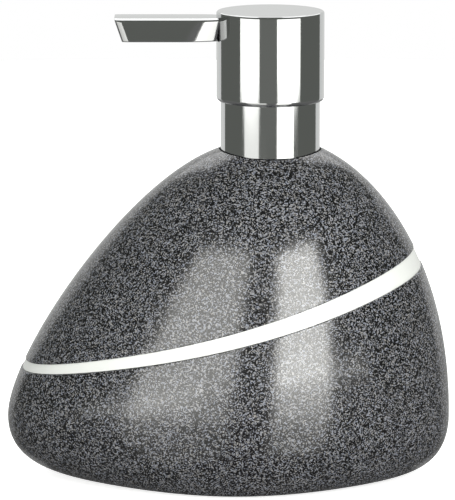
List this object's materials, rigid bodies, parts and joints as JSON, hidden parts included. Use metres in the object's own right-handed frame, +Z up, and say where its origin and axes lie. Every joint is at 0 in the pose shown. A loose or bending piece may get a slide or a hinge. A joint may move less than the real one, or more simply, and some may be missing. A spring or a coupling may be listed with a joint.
{
  "type": "soap pump dispenser",
  "caption": "Leaning pebble-shaped resin bottle with an inlaid band and a screw-on chromed pump whose head presses down and swivels to deliver liquid soap.",
  "frame": {"origin": "on the pump's axis at the surface that the dispenser stands on", "axes": "+Z up along the pump, the spout points to -X at rest, +Y to the back"},
  "size_m": [0.128, 0.088, 0.1354],
  "materials": {
    "stone_resin": "gloss, finely speckled dark grey",
    "white_inlay": "smooth white",
    "plug_plastic": "matt black",
    "seal_rubber": "matt grey",
    "pad_rubber": "matt black, finely textured",
    "moulded_plastic": "natural white moulding",
    "chrome_plate": "mirror",
    "gasket_foam": "matt white",
    "valve_ball": "polished",
    "clear_tube": "translucent",
    "spring_steel": "bright drawn wire",
    "seal_plastic": "translucent white"
  },
  "bodies": {
    "bottle": {"body_casting": "stone_resin", "band_inlay": "white_inlay", "base_plug": "plug_plastic", "plug_seal": "seal_rubber", "base_pad": "pad_rubber", "neck_insert": "moulded_plastic"},
    "pump_engine": {"pump_housing": "moulded_plastic", "stem_guide": "moulded_plastic", "ball_retainer": "moulded_plastic", "neck_gasket": "gasket_foam", "dip_tube": "clear_tube", "return_spring": "spring_steel"},
    "closure": {"closure_ring": "moulded_plastic", "collar_shell": "chrome_plate"},
    "piston": {"piston_seal": "seal_plastic"},
    "head": {"head_shell": "chrome_plate", "spout_shell": "chrome_plate", "actuator_insert": "moulded_plastic", "nozzle_tube": "moulded_plastic", "stem": "moulded_plastic", "piston_rod": "moulded_plastic"},
    "foot_valve": {"inlet_ball": "valve_ball"},
    "delivery_valve": {"outlet_ball": "valve_ball"}
  },
  "joints": [
    {"name": "pump_lift", "type": "slide", "parent": "bottle", "child": "pump_engine", "axis": [0, 0, 1], "range_m": [0, 0.00476]},
    {"name": "closure_turn", "type": "hinge", "parent": "pump_engine", "child": "closure", "pos_m": [0, 0, 0.105], "axis": [0, 0, 1], "range_deg": [0, 540]},
    {"name": "pump_stroke", "type": "slide", "parent": "pump_engine", "child": "piston", "axis": [0, 0, -1], "range_m": [0, 0.011], "stiffness_N_per_m": 900, "springref_m": -0.009, "deforming": ["return_spring"]},
    {"name": "spout_swivel", "type": "hinge", "parent": "piston", "child": "head", "pos_m": [0, 0, 0.12], "axis": [0, 0, 1], "continuous": true},
    {"name": "inlet_valve_lift", "type": "slide", "parent": "pump_engine", "child": "foot_valve", "axis": [0, 0, 1], "range_m": [0, 0.0015]},
    {"name": "outlet_valve_lift", "type": "slide", "parent": "head", "child": "delivery_valve", "axis": [0, 0, 1], "range_m": [0, 0.0015]}
  ],
  "couplings": [
    {"joint": "closure_turn", "follows": "pump_lift", "rad_per_m": 1979}
  ]
}
